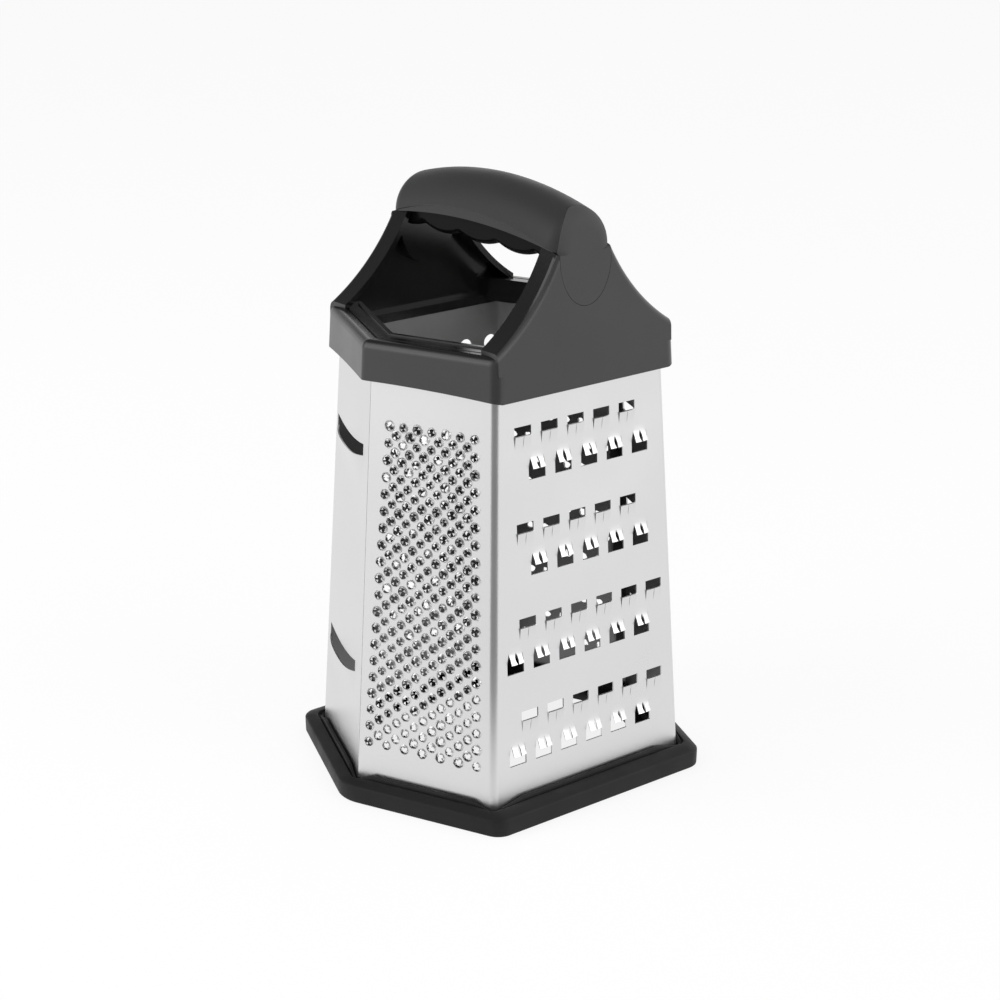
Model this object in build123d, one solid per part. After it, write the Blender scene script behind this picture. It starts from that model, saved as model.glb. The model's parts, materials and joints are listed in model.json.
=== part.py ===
from build123d import *

import os
from math import atan, atan2, cos, degrees, radians, sin, sqrt, tan

# Six-sided box grater on a soft foot ring, with a moulded cap and an arched grip.
#
# Units are millimetres. +Z is up and the origin lies on the table, under the middle of the grater.
# The two wide faces look along +X and -X, the grip runs along X between them, and the four slanted
# faces meet at a ridge on -Y and a ridge on +Y. Sizes are given at two heights: the foot line, where
# the steel leaves the foot ring, and the skirt line, where it goes up into the cap.

# Steel body
foot_line_z = 11.0
skirt_line_z = 165.0
body_depth_foot = 55.8
body_depth_skirt = 48.9
wide_half_foot = 47.2
wide_half_skirt = 40.6
slant_angle = 22.3
sheet = 0.6
bend_radius = 3.6
ridge_radius = 1.2
steel_bottom_z = 3.3
steel_in_cap = 6.6
steel_top_z = skirt_line_z + steel_in_cap
seam_flange_depth = 5.0
seam_flange_low_gap = 4.0
seam_flange_high_gap = 3.6
seam_flange_bottom_z = foot_line_z + seam_flange_low_gap
seam_flange_top_z = steel_top_z - seam_flange_high_gap

# Coarse teeth on the front wide face, each a tongue cut into two prongs. The rows that face down stand
# further out than the rows that face up, and their openings are taller.
coarse_pitch = 12.7
coarse_drop = 21.05
coarse_pair_top_z = skirt_line_z - coarse_drop
coarse_pair_pitch = 36.9
coarse_edge_gap = 12.9
coarse_pairs = 4
coarse_wide_pairs = 2
coarse_teeth_per_row = 5
coarse_width = 8.0
coarse_up_opening = 3.6
coarse_down_opening = 4.7
coarse_tongue = 6.4
coarse_up_rise = 0.9
coarse_down_rise = 2.1
coarse_up_slit_width = 0.3
coarse_down_slit_width = 1.8
coarse_slit_length = 3.6

# Fine pierced points on the front left face, in rows of seven and six by turns
fine_rows = 20
fine_points_per_row = 7
fine_drop = 15.0
fine_lift = 12.4
fine_top_z = skirt_line_z - fine_drop
fine_bottom_z = foot_line_z + fine_lift
fine_left_top = 18.1
fine_right_top = 17.9
fine_left_bottom = 25.4
fine_right_bottom = 22.3
fine_hole_radius = 1.1
fine_burr_radius = 1.7
fine_burr_height = 0.8

# Medium round teeth on the rear wide face
medium_pitch = 12.8
medium_rows = 11
medium_teeth_per_row = 6
medium_drop = 10.5
medium_lift = 19.3
medium_top_z = skirt_line_z - medium_drop
medium_bottom_z = foot_line_z + medium_lift
medium_hole_radius = 3.1
medium_hood_wall = 1.3
medium_hood_rise = 1.7

# Small pierced holes on the rear right face
small_pitch = 7.1
small_row_pitch = 10.0
small_rows = 14
small_holes_per_row = 6
small_lift = 13.0
small_bottom_z = foot_line_z + small_lift
small_hole_radius = 1.6
small_burr_wall = 0.7
small_burr_height = 1.0

# Two smile-shaped slicing slots on the rear left face
slicer_span = 41.8
slicer_shift = 1.9
slicer_drop = 2.1
slicer_gap = 4.8
slicer_end_gap = 4.6
slicer_upper_drop = 27.8
slicer_lower_lift = 38.6
slicer_upper_z = skirt_line_z - slicer_upper_drop
slicer_lower_z = foot_line_z + slicer_lower_lift
slicer_blade_length = 11.0
slicer_blade_rise = 2.0

# Three ripple slicing slots on the front right face
ripple_span = 39.0
ripple_gap = 4.1
ripple_waves = 8
ripple_wave_depth = 1.7
ripple_drop = 30.8
ripple_top_z = skirt_line_z - ripple_drop
ripple_pitch_z = 42.0
ripple_slots = 3
ripple_blade_length = 9.0
ripple_blade_rise = 2.0

# Foot ring
ring_slant_overhang = 7.4
ring_wide_overhang = 9.0
ring_corner_radius = 7.0
ring_ridge_radius = 16.0
ring_bottom_inset = 0.9
ring_wall_inset = 0.1
ring_bottom_round_z = 0.9
ring_edge_z = 6.6
ring_edge_inset = 0.9
ring_edge_top_z = 7.4
ring_shoulder_z = 8.9
ring_lip_top_z = 10.3
ring_lip_wall = 1.4
ring_groove_width = 0.8
ring_groove_depth = 1.1
ring_channel_floor_z = 3.0
ring_inner_wall = 2.2
ring_inner_wall_z = 8.7
ring_base_width = 7.1
ring_base_thickness = 4.5
ring_notch_foot_radius = 2.0
ring_notch_top_radius = 6.0
ring_notch_depth = 2.4
ring_clearance = 0.35

# Cap: skirt, rim and rails
skirt_out = 3.9
skirt_corner_radius = 5.0
skirt_ridge_radius = 3.1
skirt_ridge_rise = 2.1
skirt_rise_span = 20.0
rim_height = 17.0
rim_top_z = skirt_line_z + rim_height
rim_round = 3.2
rim_thickness = 3.3
rim_width = 12.5
rail_wall = 1.7
rail_depth = 9.0
rail_proud = 0.6
rail_bottom_z = rim_top_z - rail_depth
rail_top_z = rim_top_z + rail_proud
rim_groove_inset = 5.1
rim_groove_width = 1.0
rim_groove_depth = 1.3
seat_clearance = 0.2
stop_reach = 1.6
stop_height = 3.7
stop_top_z = steel_top_z + stop_height

# Cheeks that carry the grip. The windows' centre lies above the grip's top.
grip_rise = 54.6
grip_top_z = rim_top_z + grip_rise
window_radius = 82.0
window_centre_y = 86.4
window_lift = 15.8
window_centre_z = grip_top_z + window_lift
cheek_foot_half = 41.9
cheek_wall = 2.15
flange_wall = 2.25
flange_depth = 10.0
cheek_edge_round = 2.5

# Grip, whose heights are drops from its top
arch_radius = 172.0
cover_half_width = 14.5
cover_wall = 3.05
shoulder_round = 7.5
seam_drop = 13.0
seam_z = grip_top_z - seam_drop
seam_radius = 151.5
seam_clearance = 0.15
beam_drop = 17.0
beam_bottom_z = grip_top_z - beam_drop
beam_radius = 289.0
beam_half_width = 12.9
rest_half_width = 10.4
rest_bump_drop = 26.1
rest_valley_drop = 23.9
rest_bump_z = grip_top_z - rest_bump_drop
rest_valley_z = grip_top_z - rest_valley_drop
rest_valley_round = 3.0
rest_pitch = 22.5
rest_bumps = 5
rest_round = 2.4
rest_clearance = 0.25

# End pads, each an oval plug in a pocket of the cheek and the cover
pad_half_width = 12.2
pad_half_height = 17.9
pad_drop = 23.5
pad_centre_z = grip_top_z - pad_drop
pad_depth = 5.8
pad_clearance = 0.16
pocket_wall = 1.4

# Cutting tools run past what they cut by this much
overrun = 2.05
# Half the size of a block that holds the whole grater
reach = 300.0

slant = tan(radians(slant_angle))
slant_cos = cos(radians(slant_angle))
slant_sin = sin(radians(slant_angle))
depth_slope = (body_depth_foot - body_depth_skirt) / (skirt_line_z - foot_line_z)
half_slope = (wide_half_foot - wide_half_skirt) / (skirt_line_z - foot_line_z)


def body_depth(z):
    """Distance from the axis to the outside of a wide face at a height."""
    return body_depth_foot - depth_slope * (z - foot_line_z)


def wide_half(z):
    """Half the width of a wide face at a height."""
    return wide_half_foot - half_slope * (z - foot_line_z)


def slant_distance(z):
    """Distance from the axis to the outside of a slanted face at a height."""
    return (wide_half(z) + body_depth(z) * slant) * slant_cos


# Each face has a working plane: X across, Y up the face and Z out of it. Its origin lies on the
# outer surface, midway across the face at the middle height.
middle_z = (foot_line_z + skirt_line_z) / 2
wide_taper = degrees(atan(depth_slope))
slant_taper = degrees(atan((slant_distance(foot_line_z) - slant_distance(skirt_line_z))
                           / (skirt_line_z - foot_line_z)))
ridge_reach = slant_distance(middle_z) * slant
bend_reach = (body_depth(middle_z) - slant_distance(middle_z) * slant_sin) / slant_cos
slant_shift = (bend_reach - ridge_reach) / 2


def face_plane(heading, distance, taper, shift):
    """The working plane of the face whose outward normal points along the heading."""
    turn = radians(heading)
    lean = radians(taper)
    outward = Vector(cos(turn) * cos(lean), sin(turn) * cos(lean), sin(lean))
    across = Vector(-sin(turn), cos(turn), 0)
    origin = Vector(distance * cos(turn), distance * sin(turn), middle_z) + across * shift
    return Plane(origin=origin, x_dir=across, z_dir=outward)


coarse_face = face_plane(0, body_depth(middle_z), wide_taper, 0)
medium_face = face_plane(180, body_depth(middle_z), wide_taper, 0)
fine_face = face_plane(slant_angle - 90, slant_distance(middle_z), slant_taper, slant_shift)
slicer_face = face_plane(-90 - slant_angle, slant_distance(middle_z), slant_taper, -slant_shift)
ripple_face = face_plane(90 - slant_angle, slant_distance(middle_z), slant_taper, -slant_shift)
small_face = face_plane(90 + slant_angle, slant_distance(middle_z), slant_taper, slant_shift)
wide_faces = (coarse_face, medium_face)
slanted_faces = (fine_face, slicer_face, ripple_face, small_face)


def up_face(z, taper):
    """Distance up a face's working plane of a height above the table."""
    return (z - middle_z) / cos(radians(taper))


def block(x, y, z):
    """A box between two limits along each axis."""
    size = [b - a for a, b in (x, y, z)]
    middle = [(a + b) / 2 for a, b in (x, y, z)]
    return Pos(*middle) * Box(*size)


def behind(plane, out):
    """Everything behind a face's plane, moved outwards."""
    return plane.offset(out).location * Pos(0, 0, -reach) * Box(4 * reach, 4 * reach, 2 * reach)


def body_solid(low, high, slant_out, wide_out, bend=0, ridge=0):
    """A tapered solid with the body's six sides, moved outwards, between two heights."""
    solid = block((-reach, reach), (-reach, reach), (low, high))
    for plane in slanted_faces:
        solid &= behind(plane, slant_out)
    for plane in wide_faces:
        solid &= behind(plane, wide_out)
    for radius, at_ridge in ((ridge, True), (bend, False)):
        edges = [edge for edge in solid.edges()
                 if edge.bounding_box().size.Z > (high - low) / 2
                 and (abs(edge.center().X) < body_depth_skirt / 2) == at_ridge]
        if radius > 0:
            solid = fillet(edges, radius)
    return solid


def between_cheeks(out):
    """Everything between the wide faces' planes, moved outwards."""
    return behind(coarse_face, out) & behind(medium_face, out)


def foot_plan(slant_out, wide_out, bend, ridge, z):
    """The body's plan at the foot line, moved outwards, drawn at a height."""
    depth = body_depth(foot_line_z) + wide_out
    tip = (slant_distance(foot_line_z) + slant_out) / slant_cos
    half = tip - depth * slant
    corners = [(depth, -half), (depth, half), (0, tip), (-depth, half), (-depth, -half), (0, -tip)]
    plan = Polygon(*corners, align=None)
    tips = plan.vertices().sort_by(Axis.Y)
    plan = fillet([tips[0], tips[-1]], ridge)
    plan = fillet([v for v in plan.vertices() if abs(v.X) > depth - sheet], bend)
    return Plane.XY.offset(z) * plan


def through(region, rise):
    """A cutter of the region's outline that runs through the sheet and out past the rise."""
    return Pos(0, 0, -sheet - overrun) * extrude(region, sheet + rise + 2 * overrun)


def lifted(region, length, rise):
    """The region of sheet, hinged along y = -length and lifted by the rise at y = 0."""
    lean = degrees(atan2(rise, length))
    span = 4 * (length + rise)
    leaf = Pos(0, -length, 0) * Rot(lean, 0, 0) * Pos(0, 0, -sheet / 2) * Box(span, span, sheet)
    return extrude(region, rise + sheet, both=True) & leaf


def coarse_tooth(opening_height, slit_width, rise):
    """Opening and two-pronged tongue of one tooth whose cutting edge lies at y = 0."""
    opening = Pos(0, (opening_height - coarse_tongue) / 2) * Rectangle(
        coarse_width, opening_height + coarse_tongue)
    tongue = Pos(0, -coarse_tongue / 2) * Rectangle(coarse_width, coarse_tongue)
    slit = Polygon((-slit_width / 2, 0), (slit_width / 2, 0), (0, -coarse_slit_length), align=None)
    for across in (-coarse_width / 2, 0, coarse_width / 2):
        tongue -= Pos(across, 0) * slit
    return through(opening, 0), lifted(tongue, coarse_tongue, rise)


def medium_tooth():
    """Round hole with a sloping hood round its lower half."""
    outer = medium_hole_radius + medium_hood_wall
    hood = Circle(outer) - Circle(medium_hole_radius)
    hood -= Pos(0, outer) * Rectangle(2 * outer, 2 * outer)
    ramp = Plane.YZ * Polygon((-outer, 0), (0, medium_hood_rise), (0, -sheet), (-outer, -sheet),
                              align=None)
    body = extrude(hood, medium_hood_rise + sheet, both=True) & extrude(ramp, outer, both=True)
    return through(Circle(medium_hole_radius), medium_hood_rise), body


def pierced_point(hole_radius, burr_radius, burr_height):
    """Pierced hole with the burr that stands round it."""
    burr = Pos(0, 0, -sheet / 2) * extrude(Circle(burr_radius), burr_height + sheet / 2)
    return through(Circle(hole_radius), burr_height), burr


def arched_blade(span, length, rise):
    """A lip of sheet that stands out most at mid span and runs into the face at its root."""
    def band(height):
        low = ThreePointArc((-span / 2, -sheet), (0, height - sheet), (span / 2, -sheet))
        high = ThreePointArc((-span / 2, 0), (0, height), (span / 2, 0))
        return make_face([low, Line(low @ 1, high @ 1), high, Line(high @ 0, low @ 0)])
    edge = Plane(origin=(0, 0, 0), x_dir=(1, 0, 0), z_dir=(0, -1, 0)) * band(rise)
    root = Plane(origin=(0, -length, 0), x_dir=(1, 0, 0), z_dir=(0, -1, 0)) * band(sheet / 10)
    return loft([edge, root], ruled=True)


def slicing_slot():
    """Smile-shaped slot with its raised lower lip."""
    half = slicer_span / 2
    root_y = -slicer_gap - slicer_blade_length
    top = ThreePointArc((-half, slicer_drop), (0, 0), (half, slicer_drop))
    end_y = slicer_drop - slicer_end_gap
    low = ThreePointArc((-half, end_y), (0, -slicer_gap), (half, end_y))
    slot = make_face([top, Line(top @ 1, low @ 1), low, Line(low @ 0, top @ 0)])
    under = make_face([low, Line(low @ 1, (half, root_y)), Line((half, root_y), (-half, root_y)),
                       Line((-half, root_y), low @ 0)])
    blade = Pos(0, slicer_drop, 0) * arched_blade(slicer_span, slicer_drop - root_y, slicer_blade_rise)
    blade &= extrude(under, slicer_blade_rise + sheet, both=True)
    return (slot, under), blade


def ripple_slot():
    """Straight slot whose raised lower lip has a rippled edge."""
    half = ripple_span / 2
    pitch = ripple_span / ripple_waves
    slot = Pos(0, ripple_gap / 2) * Rectangle(ripple_span, ripple_gap)
    under = Pos(0, -ripple_blade_length / 2) * Rectangle(ripple_span, ripple_blade_length)
    wave_radius = ((pitch / 2) ** 2 + ripple_wave_depth ** 2) / (2 * ripple_wave_depth)
    lip = under
    for wave in range(ripple_waves):
        lip -= Pos(-half + pitch * (wave + 1 / 2), wave_radius - ripple_wave_depth) * Circle(wave_radius)
    blade = arched_blade(ripple_span, ripple_blade_length, ripple_blade_rise)
    blade &= extrude(lip, ripple_blade_rise + sheet, both=True)
    return (slot, under), blade


def coarse_places():
    """Places of the coarse teeth: each pair of rows faces up in the first and down in the second."""
    for pair in range(coarse_pairs):
        extra = 1 if pair >= coarse_pairs - coarse_wide_pairs else 0
        for sign in (1, -1):
            z = coarse_pair_top_z - coarse_pair_pitch * pair + sign * coarse_edge_gap / 2
            for index in range(coarse_teeth_per_row + extra):
                across = (index - (coarse_teeth_per_row - 1) / 2 - 1 / 4) * coarse_pitch
                yield sign * across, up_face(z, wide_taper), 0 if sign > 0 else 180


def fine_places():
    """Places of the fine points, spread a little wider towards the foot."""
    for step in range(2 * fine_rows - 1):
        down = step / (2 * fine_rows - 2)
        left = -fine_left_top + down * (fine_left_top - fine_left_bottom)
        right = fine_right_top + down * (fine_right_bottom - fine_right_top)
        pitch = (right - left) / (fine_points_per_row - 1)
        z = fine_top_z + down * (fine_bottom_z - fine_top_z)
        inset = step % 2
        for index in range(fine_points_per_row - inset):
            yield left + pitch * (index + inset / 2), up_face(z, slant_taper)


def medium_places():
    """Places of the medium teeth, alternate rows set to either side."""
    pitch_z = (medium_top_z - medium_bottom_z) / (medium_rows - 1)
    for row in range(medium_rows):
        side = 1 if row % 2 else -1
        for index in range(medium_teeth_per_row):
            across = (index - (medium_teeth_per_row - 1) / 2 + side / 4) * medium_pitch
            yield across, up_face(medium_bottom_z + row * pitch_z, wide_taper)


def small_places():
    """Places of the small holes, in rows of six and seven by turns."""
    for row in range(small_rows):
        count = small_holes_per_row + row % 2
        for index in range(count):
            across = (index - (count - 1) / 2) * small_pitch
            yield across, up_face(small_bottom_z + row * small_row_pitch, slant_taper)


def place(plane, x, y, shape, turn=0):
    """The shape moved from its own frame onto a face."""
    return plane.location * Pos(x, y, 0) * Rot(0, 0, turn) * shape


def half_body(side):
    """Three faces bent from one sheet, with a welding flange inside each ridge."""
    skin = body_solid(steel_bottom_z, steel_top_z, 0, 0, bend_radius, ridge_radius)
    skin -= body_solid(steel_bottom_z - overrun, steel_top_z + overrun, -sheet, -sheet,
                       bend_radius - sheet, ridge_radius - sheet)
    half = block(sorted((0, side * reach)), (-reach, reach), (-reach, reach))
    flange = body_solid(seam_flange_bottom_z, seam_flange_top_z, -sheet / 2, -sheet / 2)
    flange -= body_solid(seam_flange_bottom_z - overrun, seam_flange_top_z + overrun,
                         -seam_flange_depth, -seam_flange_depth)
    flange &= block(sorted((0, side * sheet)), (-reach, reach), (-reach, reach))
    return (skin & half) + flange


def front_shell():
    """Fine, coarse and ripple faces."""
    cuts, adds, holes = [], [], []
    up_tooth = coarse_tooth(coarse_up_opening, coarse_up_slit_width, coarse_up_rise)
    down_tooth = coarse_tooth(coarse_down_opening, coarse_down_slit_width, coarse_down_rise)
    for x, y, turn in coarse_places():
        hole, tongue = down_tooth if turn else up_tooth
        cuts.append(place(coarse_face, x, y, hole, turn))
        adds.append(place(coarse_face, x, y, tongue, turn))
    regions, blade = ripple_slot()
    for index in range(ripple_slots):
        y = up_face(ripple_top_z - index * ripple_pitch_z, slant_taper)
        cuts += [place(ripple_face, 0, y, through(region, 0)) for region in regions]
        adds.append(place(ripple_face, 0, y, blade))
    hole, burr = pierced_point(fine_hole_radius, fine_burr_radius, fine_burr_height)
    for x, y in fine_places():
        holes.append(place(fine_face, x, y, hole))
        adds.append(place(fine_face, x, y, burr))
    return half_body(1) - cuts + adds - holes


def rear_shell():
    """Slicing, medium and small-hole faces."""
    cuts, adds, holes = [], [], []
    regions, blade = slicing_slot()
    for z in (slicer_upper_z, slicer_lower_z):
        y = up_face(z, slant_taper)
        cuts += [place(slicer_face, -slicer_shift, y, through(region, 0)) for region in regions]
        adds.append(place(slicer_face, -slicer_shift, y, blade))
    hole, hood = medium_tooth()
    for x, y in medium_places():
        holes.append(place(medium_face, x, y, hole))
        adds.append(place(medium_face, x, y, hood))
    hole, burr = pierced_point(small_hole_radius, small_hole_radius + small_burr_wall, small_burr_height)
    for x, y in small_places():
        holes.append(place(small_face, x, y, hole))
        adds.append(place(small_face, x, y, burr))
    return half_body(-1) - cuts + adds - holes


def ring_band(low, high, outer, inner):
    """An upright wall that follows the steel, between two offsets and two heights."""
    wall = extrude(foot_plan(outer, outer, bend_radius + max(outer, 0), ridge_radius + max(outer, 0), low),
                   high - low)
    bore = foot_plan(inner, inner, bend_radius, ridge_radius, low - overrun)
    return wall - extrude(bore, high - low + 2 * overrun)


def foot_ring():
    """Soft ring with a channel for the steel's lower edge and a notched lip round it."""
    spread = slant_distance(steel_bottom_z) - slant_distance(foot_line_z)
    channel_out = spread + ring_clearance
    channel_in = -sheet - ring_clearance
    lip_out = channel_out + ring_lip_wall
    groove_out = lip_out + ring_groove_width
    wall_in = channel_in - ring_inner_wall
    base_in = channel_in - ring_base_width
    levels = [
        (0, ring_bottom_inset),
        (ring_bottom_round_z, ring_wall_inset),
        (ring_edge_z, 0),
        (ring_edge_top_z, ring_edge_inset),
    ]
    sections = [foot_plan(ring_slant_overhang - inset, ring_wide_overhang - inset,
                          ring_corner_radius, ring_ridge_radius, z) for z, inset in levels]
    sections.append(foot_plan(groove_out, groove_out, ring_corner_radius, ring_corner_radius,
                              ring_shoulder_z))
    ring = loft(sections, ruled=True)
    ring -= ring_band(ring_shoulder_z - ring_groove_depth, ring_shoulder_z + overrun, groove_out, lip_out)
    ring += ring_band(ring_channel_floor_z, ring_lip_top_z, lip_out, channel_in + sheet)
    tip = slant_distance(foot_line_z) / slant_cos
    half = wide_half(foot_line_z)
    depth = body_depth(foot_line_z)
    notch = Pos(0, 0, ring_lip_top_z - ring_notch_depth / 2) * Cone(
        ring_notch_foot_radius, ring_notch_top_radius, ring_notch_depth)
    corners = [(depth, -half), (depth, half), (0, tip), (-depth, half), (-depth, -half), (0, -tip)]
    ring -= [Pos(x, y, 0) * notch for x, y in corners]
    ring -= ring_band(ring_channel_floor_z, foot_line_z + overrun, channel_out, channel_in)
    ring -= extrude(foot_plan(channel_in, channel_in, bend_radius, ridge_radius, ring_inner_wall_z),
                    foot_line_z)
    ring -= extrude(foot_plan(wall_in, wall_in, bend_radius, ridge_radius, ring_base_thickness),
                    foot_line_z)
    return ring - extrude(foot_plan(base_in, base_in, bend_radius, ridge_radius, -overrun), foot_line_z)


def arch(top_z, radius):
    """Everything under an arch that spans the grip."""
    return Pos(0, 0, top_z - radius) * Rot(90, 0, 0) * Cylinder(radius, 2 * reach)


def cheek_outline(wall):
    """A cheek's outline seen along X, between the two round windows, less a wall thickness."""
    outline = Pos(0, (stop_top_z + window_centre_z) / 2) * Rectangle(
        2 * (cheek_foot_half - wall), window_centre_z - stop_top_z)
    for side in (-1, 1):
        outline -= Pos(side * window_centre_y, window_centre_z) * Circle(window_radius + wall)
    return Plane.YZ * outline


def pad_outline(grow):
    """Oval outline of an end pad seen along X."""
    return Plane.YZ * Pos(0, pad_centre_z) * Ellipse(pad_half_width + grow, pad_half_height + grow)


def cheeks():
    """The two cheeks: panels with a curved edge flange turned inwards, and a boss behind each pad."""
    walls = extrude(cheek_outline(0), reach, both=True)
    walls &= between_cheeks(skirt_out) - between_cheeks(skirt_out - flange_depth)
    rounded = [edge for edge in walls.edges()
               if abs(edge.center().X) > body_depth(edge.center().Z) + skirt_out - sheet
               and edge.bounding_box().size.Y > overrun and edge.bounding_box().size.Z > overrun]
    walls = fillet(rounded, cheek_edge_round)
    walls -= extrude(cheek_outline(flange_wall), reach, both=True) & between_cheeks(skirt_out - cheek_wall)
    boss = extrude(pad_outline(pad_clearance + pocket_wall), reach, both=True)
    boss &= extrude(cheek_outline(0), reach, both=True)
    boss &= between_cheeks(skirt_out - cheek_wall / 2) - between_cheeks(skirt_out - pad_depth - pocket_wall)
    return walls + boss


def pad_pockets():
    """The space that the two end pads take up, with their clearance."""
    pockets = extrude(pad_outline(pad_clearance), reach, both=True)
    return pockets - between_cheeks(skirt_out - pad_depth - pad_clearance)


def grip_solid(inset):
    """The arched grip, round on top and rounded over at both ends, less an inset."""
    radius = cover_half_width - inset
    middle = grip_top_z - cover_half_width
    section = Pos(0, middle) * Circle(radius)
    section += Pos(0, middle - cover_half_width / 2) * Rectangle(2 * radius, cover_half_width)
    axis = Axis((0, 0, grip_top_z - arch_radius), (0, 1, 0))
    bar = revolve(Plane.YZ * section, axis) & between_cheeks(skirt_out - inset)
    bar &= block((-reach, reach), (-reach, reach), (rim_top_z, reach))
    ends = [edge for edge in bar.edges() if abs(edge.center().X) > body_depth_skirt - 2 * flange_depth
            and edge.bounding_box().size.X < overrun and edge.center().Z > seam_z - cover_half_width / 2]
    return fillet(ends, shoulder_round - inset)


def handle_frame():
    """Cap in one moulding: skirt, rim, rails, both cheeks and the beam under the grip."""
    rail_in = skirt_out - rim_width
    groove_out = skirt_out - rim_groove_inset
    cap = body_solid(skirt_line_z, rim_top_z, skirt_out, skirt_out, skirt_corner_radius, skirt_ridge_radius)
    cap = fillet(cap.edges().group_by(Axis.Z)[-1], rim_round)
    groove = body_solid(rim_top_z - rim_groove_depth, rim_top_z + overrun, groove_out,
                        skirt_out - flange_depth)
    groove -= body_solid(rim_top_z - rim_groove_depth - overrun, rim_top_z + 2 * overrun,
                         groove_out - rim_groove_width, 0)
    cap -= groove
    cap += body_solid(rim_top_z - rim_thickness, rail_top_z, rail_in + rail_wall, -stop_reach, bend_radius)
    cap += cheeks()
    beam = arch(seam_z, seam_radius) - arch(beam_bottom_z, beam_radius)
    beam &= block((-reach, reach), (-beam_half_width, beam_half_width), (rim_top_z, reach))
    cap += beam & between_cheeks(skirt_out - cheek_wall / 2)
    cap -= body_solid(skirt_line_z - overrun, steel_top_z, seat_clearance, seat_clearance, bend_radius)
    tip = slant_distance(skirt_line_z) / slant_cos
    rise_radius = (skirt_rise_span ** 2 + skirt_ridge_rise ** 2) / (2 * skirt_ridge_rise)
    dip = Rot(0, 90, 0) * Cylinder(rise_radius, 2 * reach)
    for side in (-1, 1):
        cap -= Pos(0, side * tip, skirt_line_z + skirt_ridge_rise - rise_radius) * dip
    channel = body_solid(steel_top_z - overrun, rim_top_z - rim_thickness, -stop_reach, -stop_reach)
    rails = body_solid(rail_bottom_z, rail_top_z, rail_in + rail_wall, -stop_reach)
    cap -= channel - rails
    cap -= body_solid(skirt_line_z, stop_top_z, rail_in, -stop_reach)
    cap -= body_solid(stop_top_z, rail_top_z + overrun, rail_in, skirt_out - cheek_wall)
    cap &= arch(seam_z, seam_radius)
    return cap - pad_pockets()


def grip_cover():
    """Hollow grip cover that sits on the beam."""
    hollow = grip_solid(cover_wall) & between_cheeks(skirt_out - pad_depth - pocket_wall)
    cover = grip_solid(0) - hollow
    cover -= arch(seam_z + seam_clearance, seam_radius + seam_clearance)
    return cover - pad_pockets()


def end_pad(side):
    """Oval pad that lies flush in the cheek and wraps over the cover's shoulder."""
    plug = extrude(pad_outline(0), reach, both=True) - between_cheeks(skirt_out - pad_depth)
    skin = grip_solid(0) + (between_cheeks(skirt_out) & arch(seam_z, seam_radius))
    half = block(sorted((0, side * reach)), (-reach, reach), (rim_top_z, reach))
    return plug & skin & half


def finger_rest():
    """Grip underside with finger grooves, fixed below the beam."""
    half = rest_bumps / 2 * rest_pitch
    lobes = []
    for index in range(rest_bumps):
        start = -half + index * rest_pitch
        lobes.append(ThreePointArc((start, rest_valley_z), (start + rest_pitch / 2, rest_bump_z),
                                   (start + rest_pitch, rest_valley_z)))
    top = grip_top_z
    outline = make_face(lobes + [Line((half, rest_valley_z), (half, top)), Line((half, top), (-half, top)),
                                 Line((-half, top), (-half, rest_valley_z))])
    valleys = [v for v in outline.vertices() if v.Y < top - sheet and abs(v.X) < half - sheet]
    outline = fillet(valleys, rest_valley_round)
    side = Plane(origin=(0, 0, 0), x_dir=(1, 0, 0), z_dir=(0, -1, 0)) * outline
    rest = extrude(side, rest_half_width, both=True)
    lower = [edge for edge in rest.edges() if abs(abs(edge.center().Y) - rest_half_width) < sheet
             and edge.center().Z < rest_valley_z + sheet and edge.bounding_box().size.X > sheet]
    rest = fillet(lower, rest_round)
    rest &= arch(beam_bottom_z, beam_radius)
    return rest & between_cheeks(skirt_out - pad_depth - pocket_wall - rest_clearance)


if __name__ == "__main__":
    os.makedirs("parts", exist_ok=True)
    nodes = {
        "foot_ring": foot_ring(),
        "front_shell": front_shell(),
        "rear_shell": rear_shell(),
        "handle_frame": handle_frame(),
        "finger_rest": finger_rest(),
        "grip_cover": grip_cover(),
        "end_pad_front": end_pad(1),
        "end_pad_rear": end_pad(-1),
    }
    for name, shape in nodes.items():
        export_step(shape, f"parts/{name}.step")
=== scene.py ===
import json
import math
import random

import bmesh
import bpy
from mathutils import Matrix, Vector

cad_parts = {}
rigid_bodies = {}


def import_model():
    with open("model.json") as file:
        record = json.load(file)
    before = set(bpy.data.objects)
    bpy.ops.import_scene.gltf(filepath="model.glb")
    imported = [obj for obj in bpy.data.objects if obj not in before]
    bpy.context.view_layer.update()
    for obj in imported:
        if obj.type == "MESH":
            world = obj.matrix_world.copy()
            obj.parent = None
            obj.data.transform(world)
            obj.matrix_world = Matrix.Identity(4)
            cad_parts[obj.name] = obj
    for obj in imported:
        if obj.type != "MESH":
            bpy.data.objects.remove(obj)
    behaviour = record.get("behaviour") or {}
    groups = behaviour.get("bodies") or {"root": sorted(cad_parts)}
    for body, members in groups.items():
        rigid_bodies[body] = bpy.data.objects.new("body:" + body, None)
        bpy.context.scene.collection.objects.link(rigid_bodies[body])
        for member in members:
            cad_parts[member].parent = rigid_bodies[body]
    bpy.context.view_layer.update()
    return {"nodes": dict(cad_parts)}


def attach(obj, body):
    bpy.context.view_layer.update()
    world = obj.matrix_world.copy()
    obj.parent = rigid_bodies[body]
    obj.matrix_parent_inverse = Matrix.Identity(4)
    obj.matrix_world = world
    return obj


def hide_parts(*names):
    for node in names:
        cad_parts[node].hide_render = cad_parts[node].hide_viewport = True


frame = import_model()
scene = bpy.context.scene
scene.view_settings.view_transform = "Standard"

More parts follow.
